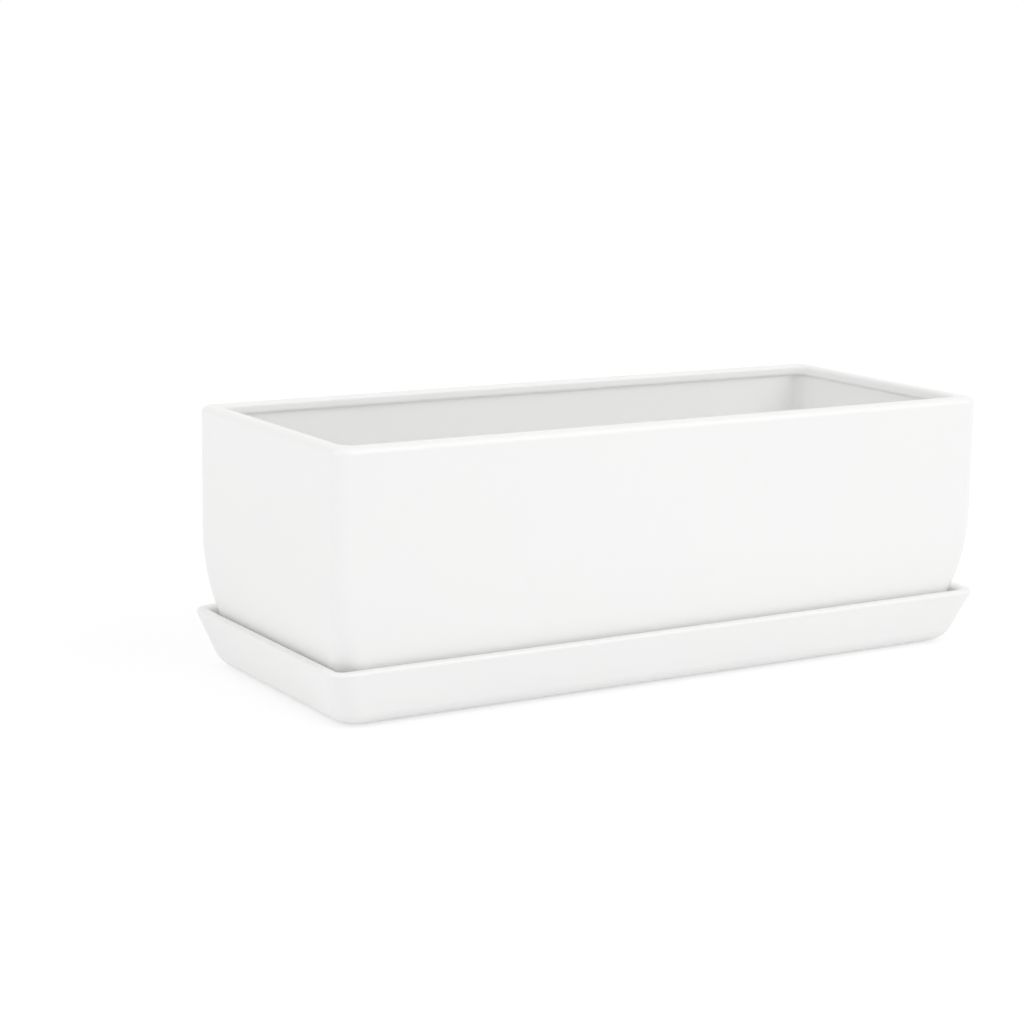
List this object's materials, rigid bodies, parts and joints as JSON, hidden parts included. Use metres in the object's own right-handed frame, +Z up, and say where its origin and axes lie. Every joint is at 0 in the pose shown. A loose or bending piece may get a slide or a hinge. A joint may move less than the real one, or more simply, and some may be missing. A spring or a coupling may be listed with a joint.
{
  "type": "indoor herb planter",
  "caption": "Long rectangular glazed planter with an inward lip and a curved-in base, standing in a close-fitting flared saucer, with mesh screens over its drain holes and felt pads below.",
  "frame": {"origin": "on the table, under the middle of the set", "axes": "+X along the planter's length, the long sides face -Y (front) and +Y (back), +Z up"},
  "size_m": [0.3618, 0.1498, 0.1245],
  "materials": {
    "pot_glaze": "smooth white glaze with a soft satin gloss, bare clay on the foot ring",
    "saucer_glaze": "smooth white glaze with a soft satin gloss, bare clay on the foot",
    "mesh_plastic": "matt moulded mesh",
    "felt": "pressed wool felt"
  },
  "bodies": {
    "saucer": {"saucer": "saucer_glaze", "felt_pad_front_left": "felt", "felt_pad_front_right": "felt", "felt_pad_back_left": "felt", "felt_pad_back_right": "felt"},
    "pot": {"pot": "pot_glaze"},
    "screen_left": {"drain_screen_left": "mesh_plastic"},
    "screen_middle": {"drain_screen_middle": "mesh_plastic"},
    "screen_right": {"drain_screen_right": "mesh_plastic"}
  },
  "joints": [
    {"name": "pot_lift", "type": "slide", "parent": "saucer", "child": "pot", "axis": [0, 0, 1], "range_m": [0, 0.12]},
    {"name": "screen_left_lift", "type": "slide", "parent": "pot", "child": "screen_left", "axis": [0, 0, 1], "range_m": [0, 0.13]},
    {"name": "screen_middle_lift", "type": "slide", "parent": "pot", "child": "screen_middle", "axis": [0, 0, 1], "range_m": [0, 0.13]},
    {"name": "screen_right_lift", "type": "slide", "parent": "pot", "child": "screen_right", "axis": [0, 0, 1], "range_m": [0, 0.13]}
  ]
}
